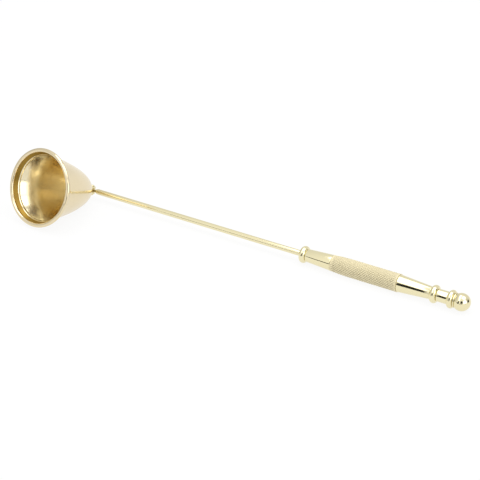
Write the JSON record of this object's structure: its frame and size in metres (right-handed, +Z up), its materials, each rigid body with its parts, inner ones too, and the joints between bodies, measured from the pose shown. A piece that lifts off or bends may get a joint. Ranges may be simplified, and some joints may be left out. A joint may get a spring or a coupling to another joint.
{
  "type": "candle snuffer",
  "caption": "Candle snuffer with a flared bell riveted on a small clevis at the end of a slim rod stem, and a turned handle with a knurled grip, beads and a ball end.",
  "frame": {"origin": "middle of the bottom of the whole snuffer's box, on the table that it lies on", "axes": "+X along the stem towards the ball end, +Z up from the table; the bell's mouth points towards -Y and a little up"},
  "size_m": [0.2508, 0.0516, 0.0401],
  "materials": {
    "bell_brass": "polished pale brass",
    "handle_brass": "polished pale brass",
    "grip_brass": "fine diamond knurl, polished",
    "fastener_brass": "turned, lightly polished brass"
  },
  "bodies": {
    "handle": {"stem": "handle_brass", "front_collar": "handle_brass", "front_ferrule": "handle_brass", "knurled_grip": "grip_brass", "rear_ferrule": "handle_brass", "rear_bead": "handle_brass", "finial_neck": "handle_brass", "finial_bead": "handle_brass", "finial_ring": "handle_brass", "ball_finial": "handle_brass"},
    "bell": {"bell": "bell_brass", "apex_washer": "fastener_brass", "clevis": "fastener_brass", "inner_washer": "fastener_brass", "cap_nut": "fastener_brass", "hinge_pin": "fastener_brass", "pin_burr": "fastener_brass"}
  },
  "joints": [
    {"name": "bell_tilt", "type": "hinge", "parent": "handle", "child": "bell", "pos_m": [-0.10087, 0.02121, 0.0046], "axis": [0, 0.388, 0.9217], "range_deg": [-190, 20]}
  ]
}
